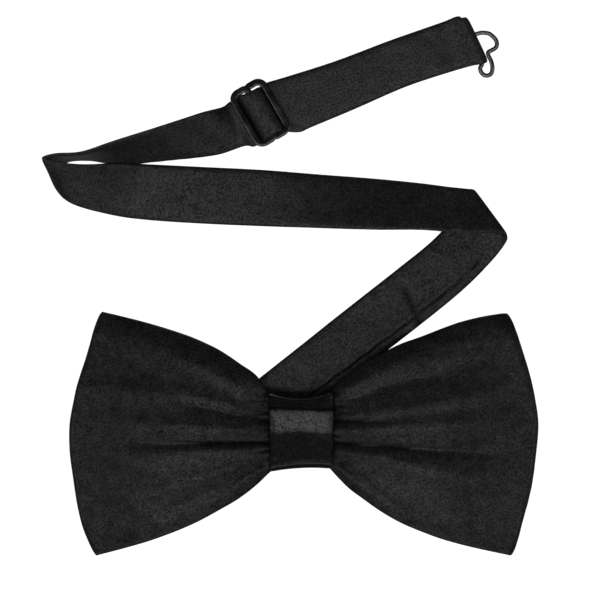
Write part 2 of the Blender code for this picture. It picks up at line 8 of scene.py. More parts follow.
import bmesh
import bpy
import numpy as np
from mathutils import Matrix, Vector


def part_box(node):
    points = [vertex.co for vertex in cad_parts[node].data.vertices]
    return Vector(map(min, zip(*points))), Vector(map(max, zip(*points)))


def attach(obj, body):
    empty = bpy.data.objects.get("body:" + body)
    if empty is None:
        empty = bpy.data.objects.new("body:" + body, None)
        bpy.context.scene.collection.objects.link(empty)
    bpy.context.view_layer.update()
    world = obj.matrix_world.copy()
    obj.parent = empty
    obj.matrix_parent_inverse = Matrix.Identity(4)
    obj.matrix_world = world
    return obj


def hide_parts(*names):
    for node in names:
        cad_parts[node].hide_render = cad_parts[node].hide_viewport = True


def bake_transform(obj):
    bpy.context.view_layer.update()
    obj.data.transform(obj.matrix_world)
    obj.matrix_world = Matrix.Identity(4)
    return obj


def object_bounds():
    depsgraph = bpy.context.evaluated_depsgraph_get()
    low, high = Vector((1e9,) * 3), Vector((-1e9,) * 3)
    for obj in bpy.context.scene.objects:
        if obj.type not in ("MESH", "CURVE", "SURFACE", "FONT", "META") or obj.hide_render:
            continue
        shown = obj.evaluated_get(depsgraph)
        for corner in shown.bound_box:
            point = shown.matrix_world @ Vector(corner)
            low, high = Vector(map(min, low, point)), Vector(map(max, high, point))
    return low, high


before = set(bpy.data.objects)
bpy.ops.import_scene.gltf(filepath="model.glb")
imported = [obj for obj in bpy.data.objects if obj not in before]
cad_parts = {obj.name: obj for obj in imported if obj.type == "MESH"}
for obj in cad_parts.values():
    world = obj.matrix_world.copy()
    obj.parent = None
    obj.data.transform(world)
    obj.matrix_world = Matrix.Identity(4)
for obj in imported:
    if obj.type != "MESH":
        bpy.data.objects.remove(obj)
cad_box = [corner.copy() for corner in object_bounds()]

MM = 0.001
STRAP_WIDTH = 0.0142
STRAP_THICK = 0.00104
GAP = 0.0003
WIRE_RADIUS = 0.0005
SLIDER_WIRE = 0.0007
BOW_THICK = 0.0013
STRAP_ANGLE = math.radians(38.35)
SLIDER_ANGLE = math.radians(30.0)
END_ANGLE = math.radians(26.0)
SLIDER_CENTRE = (-0.0106, 0.0819)
HOOK_FOLD = (0.0454, 0.1009)
END_WIDTH = 0.0121
SLIDER_WIDTH = 0.0122
EYE_PLACE = -0.0280

FLOOR_Z = STRAP_THICK / 2
SECOND_Z = FLOOR_Z + STRAP_THICK + GAP
BAR_TURN = WIRE_RADIUS + GAP + STRAP_THICK / 2
BAR_Z = FLOOR_Z + BAR_TURN
SLIDER_Z = SECOND_Z + STRAP_THICK / 2 + GAP + SLIDER_WIRE

knot_low, knot_high = (np.array(corner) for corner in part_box("knot_wrap"))
KNOT = np.array([(knot_low[0] + knot_high[0]) / 2, (knot_low[1] + knot_high[1]) / 2, 0.0])


# ---------------------------------------------------------------- mesh helpers

def unit(vectors):
    vectors = np.array(vectors, float)
    return vectors / np.maximum(np.linalg.norm(vectors, axis=-1, keepdims=True), 1e-12)


def read_smooth(points, x):
    """A smooth curve through (x, value) places, read at x; flat beyond its ends."""
    points = np.array(points, float)
    places, values = points[:, 0], points[:, 1]
    slopes = np.gradient(values, places)
    x = np.clip(x, places[0], places[-1])
    k = np.clip(np.searchsorted(places, x, side="right") - 1, 0, len(places) - 2)
    span = places[k + 1] - places[k]
    t = (x - places[k]) / span
    return ((2 * t ** 3 - 3 * t ** 2 + 1) * values[k] + (t ** 3 - 2 * t ** 2 + t) * span * slopes[k]
            + (-2 * t ** 3 + 3 * t ** 2) * values[k + 1] + (t ** 3 - t ** 2) * span * slopes[k + 1])


def smooth_curve(points, per_span):
    """Points on a Catmull-Rom curve through the given ones."""
    points = np.array(points, float)
    padded = np.concatenate([2 * points[:1] - points[1:2], points, 2 * points[-1:] - points[-2:-1]])
    curve = []
    for k in range(1, len(padded) - 2):
        before, start, end, after = padded[k - 1:k + 3]
        for i in range(per_span):
            t = i / per_span
            curve.append(0.5 * (2 * start + (end - before) * t
                                + (2 * before - 5 * start + 4 * end - after) * t ** 2
                                + (3 * start - before - 3 * end + after) * t ** 3))
    curve.append(points[-1])
    return np.array(curve)


def mesh_piece(name, vertices, faces, material, smooth_angle):
    mesh = bpy.data.meshes.new(name)
    mesh.from_pydata([tuple(v) for v in vertices], [], faces)
    work = bmesh.new()
    work.from_mesh(mesh)
    bmesh.ops.recalc_face_normals(work, faces=work.faces)
    work.to_mesh(mesh)
    work.free()
    mesh.shade_smooth()
    mesh.set_sharp_from_angle(angle=math.radians(smooth_angle))
    mesh.materials.append(material)
    piece = bpy.data.objects.new(name, mesh)
    bpy.context.scene.collection.objects.link(piece)
    return piece


def loft(name, rings, material, closed=False, smooth_angle=60):
    """A solid through rings of points, closed end to end or with flat ends."""
    rings = np.array(rings)
    count, size = rings.shape[:2]
    faces = []
    for k in range(count if closed else count - 1):
        here, there = k * size, (k + 1) % count * size
        for i in range(size):
            j = (i + 1) % size
            faces.append((here + i, here + j, there + j, there + i))
    if not closed:
        faces.append(tuple(range(size)))
        faces.append(tuple(range((count - 1) * size, count * size)))
    return mesh_piece(name, rings.reshape(-1, 3), faces, material, smooth_angle)


def wire(name, points, radius, material, sides, power=1.0, spread=1.0):
    """A closed loop of wire through points, round, or a flat bar where power is well under 1."""
    points = np.array(points, float)
    along = unit(np.roll(points, -1, axis=0) - np.roll(points, 1, axis=0))
    side = unit(np.cross(along, np.array([0.0, 0.0, 1.0])))
    up = np.cross(side, along)
    turn = 2 * math.pi * np.arange(sides) / sides
    out = np.copysign(np.abs(np.cos(turn)) ** power, np.cos(turn))[None, :, None]
    rise = np.copysign(np.abs(np.sin(turn)) ** power, np.sin(turn))[None, :, None]
    rings = points[:, None] + radius * (spread * out * side[:, None] + rise * up[:, None])
    return loft(name, rings, material, True)


def ripple(x, y, wave, seed):
    """A smooth wandering value, about -1 to 1, from a few sines in seeded directions."""
    waves, peak = 5, 2.6
    chance = np.random.default_rng(seed)
    value = np.zeros(np.broadcast(x, y).shape)
    for _ in range(waves):
        angle = chance.uniform(0, 2 * math.pi)
        length = wave * chance.uniform(0.7, 1.5)
        phase = chance.uniform(0, 2 * math.pi)
        along = x * math.cos(angle) + y * math.sin(angle)
        value = value + np.sin(2 * math.pi * along / length + phase)
    return value / peak


# ---------------------------------------------------------------- materials

class Nodes:
    """A short way to write a material's nodes."""

    def __init__(self, name):
        self.material = bpy.data.materials.new(name)
        self.material.use_nodes = True
        self.tree = self.material.node_tree
        self.shader = self.tree.nodes["Principled BSDF"]
        self.place = self.tree.nodes.new("ShaderNodeTexCoord").outputs["Object"]

    def link(self, source, target):
        self.tree.links.new(source, target)

    def add(self, kind, values=(), **settings):
        node = self.tree.nodes.new(kind)
        for key, value in settings.items():
            setattr(node, key, value)
        for key, value in values:
            if isinstance(value, bpy.types.NodeSocket):
                self.link(value, node.inputs[key])
            else:
                node.inputs[key].default_value = value
        return node

    def mapped(self, scale, angle=0.0):
        """The object's own coordinates, turned by angle and then scaled."""
        node = self.add("ShaderNodeMapping", [("Vector", self.place), ("Rotation", (0, 0, -angle)),
                                              ("Scale", scale)])
        return node.outputs[0]

    def noise(self, vector, scale, detail, rough):
        node = self.add("ShaderNodeTexNoise", [("Vector", vector), ("Scale", scale),
                                               ("Detail", detail), ("Roughness", rough)])
        return node.outputs["Fac"]

    def span(self, value, low, high, to_low, to_high):
        """A value's range from low to high, carried over to another range."""
        node = self.add("ShaderNodeMapRange", [("Value", value), ("From Min", low),
                                               ("From Max", high), ("To Min", to_low),
                                               ("To Max", to_high)])
        return node.outputs[0]

    def math(self, operation, first, second):
        return self.add("ShaderNodeMath", [(0, first), (1, second)], operation=operation).outputs[0]

    def bump(self, height, strength, distance, normal=None):
        values = [("Height", height), ("Strength", strength), ("Distance", distance)]
        if normal is not None:
            values.append(("Normal", normal))
        return self.add("ShaderNodeBump", values).outputs[0]


SATIN_BLACK = (0.0058, 0.0058, 0.0060)
WEAVE_TURN = math.radians(62)


def satin(name, angle=0.0, painted_light=1.0, gloss=1.0, rough=0.42, relief=1.0):
    """Black satin: a fine diagonal weave, a crepe-like grain, and a soft uneven sheen; its colour
    is scaled by a painted light factor.
    """
    n = Nodes(name)

    def spread(texture, low, high):
        return n.span(texture, 0.3, 0.7, low, high)

    plain = n.mapped((1, 1, 1), angle)
    grain = n.noise(plain, 2100.0, 2.0, 0.75)
    slubs = n.noise(n.mapped((0.3, 1.0, 1.0), angle), 1700.0, 2.0, 0.6)
    mottle = n.noise(plain, 330.0, 3.0, 0.65)
    cloud = n.noise(n.mapped((0.6, 1, 1), angle), 75.0, 2.0, 0.5)
    weave = n.add("ShaderNodeTexWave", [("Vector", n.mapped((1, 1, 1), angle + WEAVE_TURN)),
                                        ("Scale", 1150.0), ("Distortion", 1.2), ("Detail", 1.0),
                                        ("Detail Scale", 2.0)], bands_direction="X").outputs["Fac"]
    patch, dulling = 0.30 * relief, 0.04 * relief
    tone = n.math("MULTIPLY", spread(mottle, 1 - patch, 1 + patch), spread(grain, 0.25, 1.75))
    tone = n.math("MULTIPLY", tone, n.span(cloud, 0.35, 0.65, 1 - patch / 2, 1 + patch / 2))
    # painted light and shade: the colour is scaled lighter or darker for each copy of the satin
    black = tuple(channel * painted_light for channel in SATIN_BLACK)
    colour = n.add("ShaderNodeVectorMath", [(0, black), ("Scale", tone)], operation="SCALE")
    n.link(colour.outputs[0], n.shader.inputs["Base Color"])
    n.link(n.math("ADD", spread(mottle, rough - dulling, rough + dulling),
                  spread(grain, 0.03, -0.03)), n.shader.inputs["Roughness"])
    n.link(n.math("MULTIPLY", spread(grain, 0.03 * gloss, 0.36 * gloss),
                  spread(mottle, 1 - patch, 1 + patch)), n.shader.inputs["Specular IOR Level"])
    n.shader.inputs["Sheen Weight"].default_value = 0.012
    n.shader.inputs["Sheen Roughness"].default_value = 0.35
    n.shader.inputs["Sheen Tint"].default_value = (0.8, 0.8, 0.84, 1.0)
    n.shader.inputs["Anisotropic"].default_value = 0.3
    fine = n.bump(weave, 0.3, 0.00005)
    fine = n.bump(slubs, 0.10 + 0.20 * relief, 0.00010, fine)
    fine = n.bump(grain, 0.12 + 0.23 * relief, 0.00012, fine)
    n.link(n.bump(mottle, 0.12 * relief, 0.00040, fine), n.shader.inputs["Normal"])
    return n.material


def thread(name):
    """Black sewing thread, with its twist."""
    n = Nodes(name)
    twist = n.add("ShaderNodeTexWave", [("Vector", n.mapped((1, 1, 1), 0.8)), ("Scale", 900.0),
                                        ("Distortion", 2.0)]).outputs["Fac"]
    tone = n.span(twist, 0.0, 1.0, 0.006, 0.02)
    n.link(n.add("ShaderNodeCombineColor", [(0, tone), (1, tone), (2, tone)]).outputs[0],
           n.shader.inputs["Base Color"])
    n.shader.inputs["Roughness"].default_value = 0.6
    n.link(n.bump(twist, 0.5, 0.00008), n.shader.inputs["Normal"])
    return n.material


def plated_metal(name, tone, rough, glint_strength=1.0):
    """Black nickel plate, with fine polishing marks, duller patches and a painted highlight on its
    sharp edges.
    """
    n = Nodes(name)
    marks = n.noise(n.mapped((1.0, 0.15, 1.0), SLIDER_ANGLE), 2600.0, 3.0, 0.6)
    wear = n.noise(n.mapped((1, 1, 1)), 420.0, 3.0, 0.6)
    value = n.span(wear, 0.3, 0.75, tone, tone * 1.8)
    edge = n.add("ShaderNodeNewGeometry").outputs["Pointiness"]
    centre = np.array([*SLIDER_CENTRE, 0.0]) + KNOT
    side = direction(SLIDER_ANGLE + math.pi / 2)
    across = n.add("ShaderNodeVectorMath", [(0, n.mapped((1, 1, 1))), (1, tuple(side))],
                   operation="DOT_PRODUCT").outputs["Value"]
    away = n.math("ABSOLUTE", n.math("SUBTRACT", across, centre @ side), 0.0)
    # painted highlight: sharp edges away from where the two rings meet get a brighter colour in
    # place of edge reflections
    painted_glint = n.math("MULTIPLY", n.span(edge, 0.56, 0.66, 0.0, 0.8 * glint_strength),
                  n.span(away, 0.0058, 0.0068, 1.0, 0.0))
    value = n.math("ADD", value, painted_glint)
    bluer = n.math("MULTIPLY", value, 1.04)
    n.link(n.add("ShaderNodeCombineColor", [(0, value), (1, value), (2, bluer)]).outputs[0],
           n.shader.inputs["Base Color"])
    n.shader.inputs["Metallic"].default_value = 1.0
    n.link(n.span(wear, 0.3, 0.75, rough, rough + 0.14), n.shader.inputs["Roughness"])
    n.link(n.bump(marks, 0.15, 0.00005), n.shader.inputs["Normal"])
    return n.material


# ---------------------------------------------------------------- the bow

# The bow and the knot are set out in millimetres from the knot's centre.
# Half-heights of the wings against the distance from the waist, upper then lower edge
RIGHT_TOP = ((0, 7.3), (6.5, 8.6), (8.6, 11.8), (10.8, 13.6), (15, 16.9), (20, 19.9),
             (25.3, 22.6), (30.4, 24.4), (35.5, 26.4), (40.6, 28.2), (45.8, 29.5), (52.6, 30.6))
RIGHT_LOW = ((0, 7.3), (6.5, 8.4), (8.2, 10.3), (9.9, 12.1), (12.4, 14.5), (15, 16.4),
             (20.1, 20.0), (25.3, 23.0), (30.4, 25.2), (35.5, 27.1), (40.6, 28.6), (54.2, 31.8))
LEFT_TOP = ((0, 7.3), (8.2, 9.4), (10.6, 13.4), (15.8, 17.6), (20.9, 21.0), (26, 23.5),
            (36.3, 27.1), (46.5, 29.8), (52.2, 31.1))
LEFT_LOW = ((0, 7.3), (8.1, 10.2), (10.6, 12.6), (15.8, 16.7), (20.9, 19.7), (26, 22.5),
            (36.3, 26.8), (46.5, 30.0), (53.5, 31.9))
# The outer edges: place down the edge from -1 to 1, and distance from the waist
RIGHT_EDGE = ((-1, 54.2), (-0.76, 56.0), (-0.39, 58.8), (0.05, 60.5), (0.44, 58.4),
              (0.72, 55.5), (0.93, 53.1), (1, 52.0))
RIGHT_BACK_EDGE = ((-1, 54.1), (-0.76, 55.9), (-0.39, 58.6), (0.05, 60.3), (0.44, 58.3),
                   (0.72, 55.9), (0.93, 54.4), (1, 53.9))
LEFT_EDGE = ((-1, 53.2), (-0.75, 55.8), (-0.41, 57.9), (0.02, 59.2), (0.37, 56.8), (0.6, 54.7),
             (0.86, 52.6), (1, 51.7))
# Heights over the strap's back against the distance from the waist, and the front's fall at its
# upper and lower edges
FRONT_RISE = ((0, 8.1), (8.9, 8.3), (13, 9.7), (28, 12.1), (40, 10.6), (50, 7.0), (60, 3.9))
BACK_RISE = ((0, 5.1), (11, 5.1), (25, 5.2), (38, 4.6), (50, 2.0), (60, 1.2))
FRONT_DROOP = ((0, 0.7), (10, 0.7), (28, 2.6), (50, 1.4), (60, 0.5))
UPPER_DROOP = 1.4
WING_END = 0.972

# Folds in the front: height, below zero for a valley; the line it follows, as distance from the
# waist and place up the wing; half-width near the knot and far from it; how sharp it is; and the
# distances at which it starts and ends
LEFT_FOLDS = (
    (0.85, ((7, 0.4), (20, 0.9), (40, 2.0), (60, 3.3)), 1.3, 3.4, 1.2, (7, 66)),
    (-1.20, ((7, -2.3), (16, -2.6), (28, -2.8), (42, -3.1)), 0.6, 1.7, 1.0, (7, 46)),
    (-0.90, ((7, 2.9), (15.7, 4.5), (25, 6.6), (38, 10.4)), 0.7, 2.2, 1.0, (7, 40)),
    (0.50, ((14, 4.9), (22, 6.9), (36, 9.6), (60, 10.8)), 1.1, 3.6, 1.3, (13, 64)),
    (0.45, ((16, 12.0), (26, 17.5), (45, 25.5)), 1.8, 4.0, 1.5, (10, 60)),
    (0.55, ((12, -4.6), (33, -4.9), (58, -8)), 1.0, 3.2, 1.2, (12, 60)),
    (0.60, ((8, -5.4), (17, -8.6), (33, -13.8), (55, -20)), 1.1, 4.0, 1.3, (8, 58)),
    (-0.55, ((9, -7.6), (20, -13.6), (36, -20.5)), 0.9, 3.0, 1.2, (9, 42)),
    (0.65, ((9, -8.6), (14, -11.2), (20, -15.6)), 1.0, 1.8, 1.3, (9, 21)),
)
RIGHT_FOLDS = (
    (0.85, ((7, 0.6), (30, 1.5), (60, 3.0)), 1.3, 3.4, 1.2, (7, 66)),
    (-1.20, ((7, -2.7), (16, -3.3), (31, -4.2), (56, -5.0)), 0.6, 2.6, 0.5, (7, 60)),
    (-0.85, ((7, 2.5), (15, 2.7), (22, 3.0)), 0.6, 1.5, 1.0, (7, 23)),
    (0.45, ((12, 3.9), (24, 5.6), (43, 9.0), (60, 11.5)), 1.0, 3.4, 1.3, (11, 64)),
    (-0.45, ((10, 7.4), (20, 11), (38, 15.2), (55, 19)), 1.2, 4.4, 1.3, (9, 54)),
    (0.40, ((10, 10.0), (20, 16.0), (45, 25.5)), 1.6, 4.4, 1.4, (9, 58)),
    (0.75, ((9, -4.4), (20, -6.2), (38, -11.0), (58, -14)), 1.2, 5.0, 1.3, (9, 62)),
    (-0.45, ((8, -6.6), (13, -9.6), (22, -17.0), (33, -23.8)), 0.8, 2.0, 1.1, (8, 30)),
    (0.50, ((9, -8.4), (13, -12.0), (18, -16.4)), 0.8, 1.2, 1.3, (9, 17)),
)


def fold_relief(reach, y, folds):
    """How far the folds lift or sink the satin, in millimetres."""
    total = np.zeros(np.broadcast(reach, y).shape)
    for height, line, near, far, power, (start, end) in folds:
        centre = read_smooth(line, reach)
        width = near + (far - near) * np.clip((reach - 7) / 48, 0, 1)
        strength = (np.clip((reach - start + 2.0) / 3.0, 0, 1)
                    * np.clip((end - reach) / (0.35 * end), 0, 1))
        growth = 1.0 + 0.25 * np.clip((reach - 12) / 30, 0, 1)
        profile = np.exp(-np.abs((y - centre) / width) ** (1.0 + power / 2))
        total = total + height * strength * growth * profile
    return total


def wing_point(reach, t, right, front):
    """A place on a wing's layer, in millimetres from the waist, from its distance and its place
    down the wing, which runs from -1 at the lower edge to 1 at the upper."""
    top = RIGHT_TOP if right else LEFT_TOP
    low = RIGHT_LOW if right else LEFT_LOW
    if right:
        edge = RIGHT_EDGE if front else RIGHT_BACK_EDGE
    else:
        edge = LEFT_EDGE
    outer = read_smooth(edge, t)
    x = reach * outer
    along = reach * read_smooth(edge, np.where(t > 0, 1.0, -1.0))
    half = np.where(t > 0, read_smooth(top, along), read_smooth(low, along))
    if not front:
        half = half - 0.5 * np.clip(along / 10, 0, 1) * np.abs(t)
    y = t * half
    outward = np.clip((x - 12) / 20, 0, 1)
    if front:
        droop = read_smooth(FRONT_DROOP, x) * np.where(t > 0, UPPER_DROOP, 1.0) * t ** 2
        folds = fold_relief(x, y, RIGHT_FOLDS if right else LEFT_FOLDS)
        z = read_smooth(FRONT_RISE, x) - droop
        z = z + folds * (1 - 0.75 * np.abs(t) ** 6)
        z = z - 0.9 * np.clip((x - 9) / 8, 0, 1) * np.abs(t) ** 10
        near = np.exp(-((x - 8.0) / 5.0) ** 2)
        z = z + 0.30 * near * np.sin(y * 3.4 + (0.6 if right else 2.1)) * (1 - t ** 4)
        z = z + 0.22 * ripple(x, y, 19.0, 3 if right else 4) * outward
        z = z + 0.05 * ripple(x, y, 5.0, 13 if right else 14) * outward
    else:
        z = read_smooth(BACK_RISE, x) + 0.7 * np.clip(1 - x / 11, 0, 1) * t ** 2
        near = np.exp(-((x - 8.0) / 7.0) ** 2)
        z = z - 0.35 * near * np.abs(np.sin(y * 1.1)) * (1 - t ** 4)
        z = z + 0.15 * ripple(x, y, 21.0, 23 if right else 24) * outward
    return np.stack([x if right else -x, y, z], axis=-1)


def bow_loop(t):
    """Once round the bow's loop at each place down the wing: right front, back, left."""
    reach = np.concatenate([np.linspace(0, 0.2, 14)[:-1], np.linspace(0.2, WING_END, 56)])[:, None]
    t = np.array(t)[None, :]
    halves = []
    for right in (True, False):
        front = wing_point(reach, t, right, True)
        back = wing_point(reach, t, right, False)
        top, bottom = front[-1], back[-1]
        tip = wing_point(np.ones((1, 1)), t, right, True)[0]
        corner = (tip - top) * np.array([0.0, 1.0, 0.0])
        middle, radius = (top + bottom) / 2, (top[:, 2:] - bottom[:, 2:]) / 2
        turn = [math.radians(a) for a in (22, 45, 68, 90, 112, 135, 158)]
        lean = (top - bottom) / 2
        sideways = np.array([1.0 if right else -1.0, 0.0, 0.0])
        bulge = corner + radius * sideways * 0.9
        arc = np.array([middle + lean * math.cos(a) + bulge * math.sin(a) for a in turn])
        halves.append(np.concatenate([front, arc, back[::-1]]))
    return np.concatenate([halves[0][:-1], halves[1][::-1][:-1]])


def bow_cloth(material):
    """A flattened satin tube, gathered at the waist and closed into a loop."""
    half = BOW_THICK / 2 / MM
    even = np.linspace(-1, 1, 66)
    spread = np.sin(even * math.pi / 2) * 0.55 + even * 0.45
    middle = bow_loop(spread)
    along = np.roll(middle, -1, axis=0) - np.roll(middle, 1, axis=0)
    down = np.gradient(middle, axis=1)
    outward = unit(np.cross(along, down))
    thick = half * np.sqrt(np.clip(1 - np.abs(spread) ** 14, 0.02, 1))[None, :, None]
    outer = middle + outward * thick
    inner = middle - outward * thick
    rings = np.concatenate([outer, inner[:, ::-1]], axis=1)
    return loft("bow_cloth", rings * MM + KNOT, material, True, 75)


KNOT_HALF_WIDTH = 8.2
KNOT_HALF_THICK = 0.42


def knot_section(x):
    """The knot's outline in the plane across the bow's waist, at a place along it.

    Its front leans down from a fold near the upper edge, and more steeply below the middle."""
    u = x / KNOT_HALF_WIDTH
    upper = 0.25 * u + 1.6 * u * u
    lower = 0.4 * u - 0.6 * u * u
    front = ((8.72, 9.75), (8.45, 10.36), (8.0, 10.74), (7.40, 10.96), (6.80, 11.08), (6.42, 11.18),
             (6.28, 11.36), (6.14, 11.66), (5.90, 11.88), (5.3, 11.92), (4.0, 11.86), (2.5, 11.74),
             (1.0, 11.56), (0.0, 11.39), (-1.0, 11.13), (-2.5, 10.72), (-4.0, 10.28), (-5.3, 9.90),
             (-5.8, 9.75), (-6.3, 9.60), (-7.0, 9.38), (-7.8, 8.98), (-8.5, 8.3))
    back = ((-9.05, 7.4), (-9.2, 5.4), (-9.15, 3.0), (-8.8, 1.9), (-8.0, 1.66), (-5.2, 1.6),
            (0.0, 1.6), (5.0, 1.6), (7.4, 1.66), (8.3, 1.9), (8.8, 2.9), (8.85, 5.2),
            (8.84, 7.6), (8.82, 8.9))
    points = []
    for y, z in front + back:
        spread = min(max((abs(y) - 6.6) / 1.4, 0.0), 1.0)
        points.append((y + spread * (upper if y > 0 else lower), z))
    points.append(points[0])
    return smooth_curve(points, 6)[:-1]


def knot_cloth(material):
    """A band of folded satin wrapped round the waist, with a crease near its upper edge."""
    even = np.linspace(-1, 1, 41)
    places = np.sin(even * math.pi / 2) * 0.5 + even * 0.5
    sections = np.array([knot_section(KNOT_HALF_WIDTH * u) for u in places])
    x = (KNOT_HALF_WIDTH * places)[:, None]
    y, z = sections[:, :, 0], sections[:, :, 1]
    front = np.clip((z - 8) / 3, 0, 1)
    z = z + front * 0.08 * np.exp(-((y - 8.4 - 1.3 * (x / KNOT_HALF_WIDTH) ** 2) / 0.35) ** 2)
    y = y + front * (0.06 * np.sin(x * 0.9) - 0.034 * x) * np.exp(-((y - 6.2) / 0.8) ** 2)
    z = z + front * (0.05 * ripple(x * 1.6, y, 7.0, 31) + 0.02 * ripple(x * 2.5, y * 0.6, 3.0, 32))
    z = z - front * 0.35 * np.abs(x / KNOT_HALF_WIDTH) ** 6
    middle = np.stack([np.broadcast_to(x, y.shape), y, z], axis=-1)
    around = np.roll(middle, -1, axis=1) - np.roll(middle, 1, axis=1)
    across = np.gradient(middle, axis=0)
    outward = unit(np.cross(around, across))
    centre = np.array([0.0, 0.0, 6.6])
    if np.mean(np.sum(outward * (middle - centre), axis=-1)) < 0:
        outward = -outward
    edges = np.sqrt(np.clip(1 - np.abs(places) ** 20, 0.05, 1))[:, None, None]
    thick = KNOT_HALF_THICK * edges
    inner = middle - 2 * outward * thick
    outer = middle - outward * (KNOT_HALF_THICK - thick)
    rings = np.swapaxes(np.concatenate([outer, inner[::-1]], axis=0), 0, 1)
    return loft("knot_cloth", rings * MM + KNOT, material, True, 75)


# ---------------------------------------------------------------- the strap

def direction(angle):
    return np.array([math.cos(angle), math.sin(angle), 0.0])


def level(centre, angle, z, width=STRAP_WIDTH):
    """A level cross-section of the strap: its left edge, then its right edge."""
    side = direction(angle + math.pi / 2) * width / 2
    middle = np.array([centre[0], centre[1], z])
    return middle + side, middle - side


def behind_knot(along, z):
    """A level cross-section of the strap where it crosses behind the knot."""
    place = direction(STRAP_ANGLE) * along - KNOT
    return level(place[:2], STRAP_ANGLE, z)


def near(centre, angle, along, z, width=STRAP_WIDTH):
    """A level cross-section of the strap, some way along it from a centre."""
    place = np.array([centre[0], centre[1], 0.0]) + direction(angle) * along
    return level(place[:2], angle, z, width)


# Cross-sections of the strap, as left edge and right edge, from the bow to the slider
HALF_CIRCLE = [math.radians(a) for a in (0, 30, 60, 90, 120, 150, 180)]
RIGHT_FOLD = (((0.0095, 0.0299, 0.00052), (0.0187, 0.0183, 0.00052)),
              ((0.0253, 0.0423, 0.00052), (0.0345, 0.0306, 0.00052)),
              ((0.0335, 0.0490, 0.00052), (0.0429, 0.0377, 0.00052)),
              ((0.0395, 0.0554, 0.00060), (0.0491, 0.0441, 0.00055)),
              ((0.0430, 0.0603, 0.00110), (0.0522, 0.0481, 0.00110)),
              ((0.0440, 0.0621, 0.00190), (0.0528, 0.0499, 0.00220)),
              ((0.0424, 0.0624, 0.00250), (0.0510, 0.0509, 0.00380)))
MIDDLE_RUN = (((0.0377, 0.0629, 0.00250), (0.0410, 0.0511, 0.00620)),
              ((0.0300, 0.0639, 0.00170), (0.0306, 0.0517, 0.00740)),
              ((0.0180, 0.0651, 0.00080), (0.0182, 0.0519, 0.00560)),
              ((0.0050, 0.0661, 0.00055), (0.0050, 0.0523, 0.00300)),
              ((-0.0100, 0.0673, 0.00052), (-0.0100, 0.0528, 0.00090)),
              ((-0.0260, 0.0681, 0.00070), (-0.0260, 0.0535, 0.00052)),
              ((-0.0390, 0.0687, 0.00200), (-0.0393, 0.0544, 0.00052)))
LEFT_CURL = (((-0.0470, 0.0689, 0.00500), (-0.0482, 0.0556, 0.00060)),
             ((-0.0565, 0.0685, 0.00940), (-0.0580, 0.0582, 0.00080)),
             ((-0.0634, 0.0692, 0.01140), (-0.0622, 0.0612, 0.00070)),
             ((-0.0659, 0.0701, 0.01260), (-0.0636, 0.0656, 0.00060)),
             ((-0.0628, 0.0709, 0.01370), (-0.0604, 0.0693, 0.00060)),
             ((-0.0563, 0.0713, 0.01420), (-0.0546, 0.0699, 0.00060)),
             ((-0.0485, 0.0740, 0.01350), (-0.0464, 0.06875, 0.00060)))
UPPER_RUN = (((-0.0410, 0.0765, 0.01250), (-0.0388, 0.0694, 0.00060)),
             ((-0.0318, 0.0795, 0.01080), (-0.0284, 0.0703, 0.00060)),
             ((-0.0252, 0.0819, 0.00720), (-0.0208, 0.0714, 0.00060)),
             ((-0.0204, 0.0834, 0.00230), (-0.0146, 0.0734, 0.00090)))


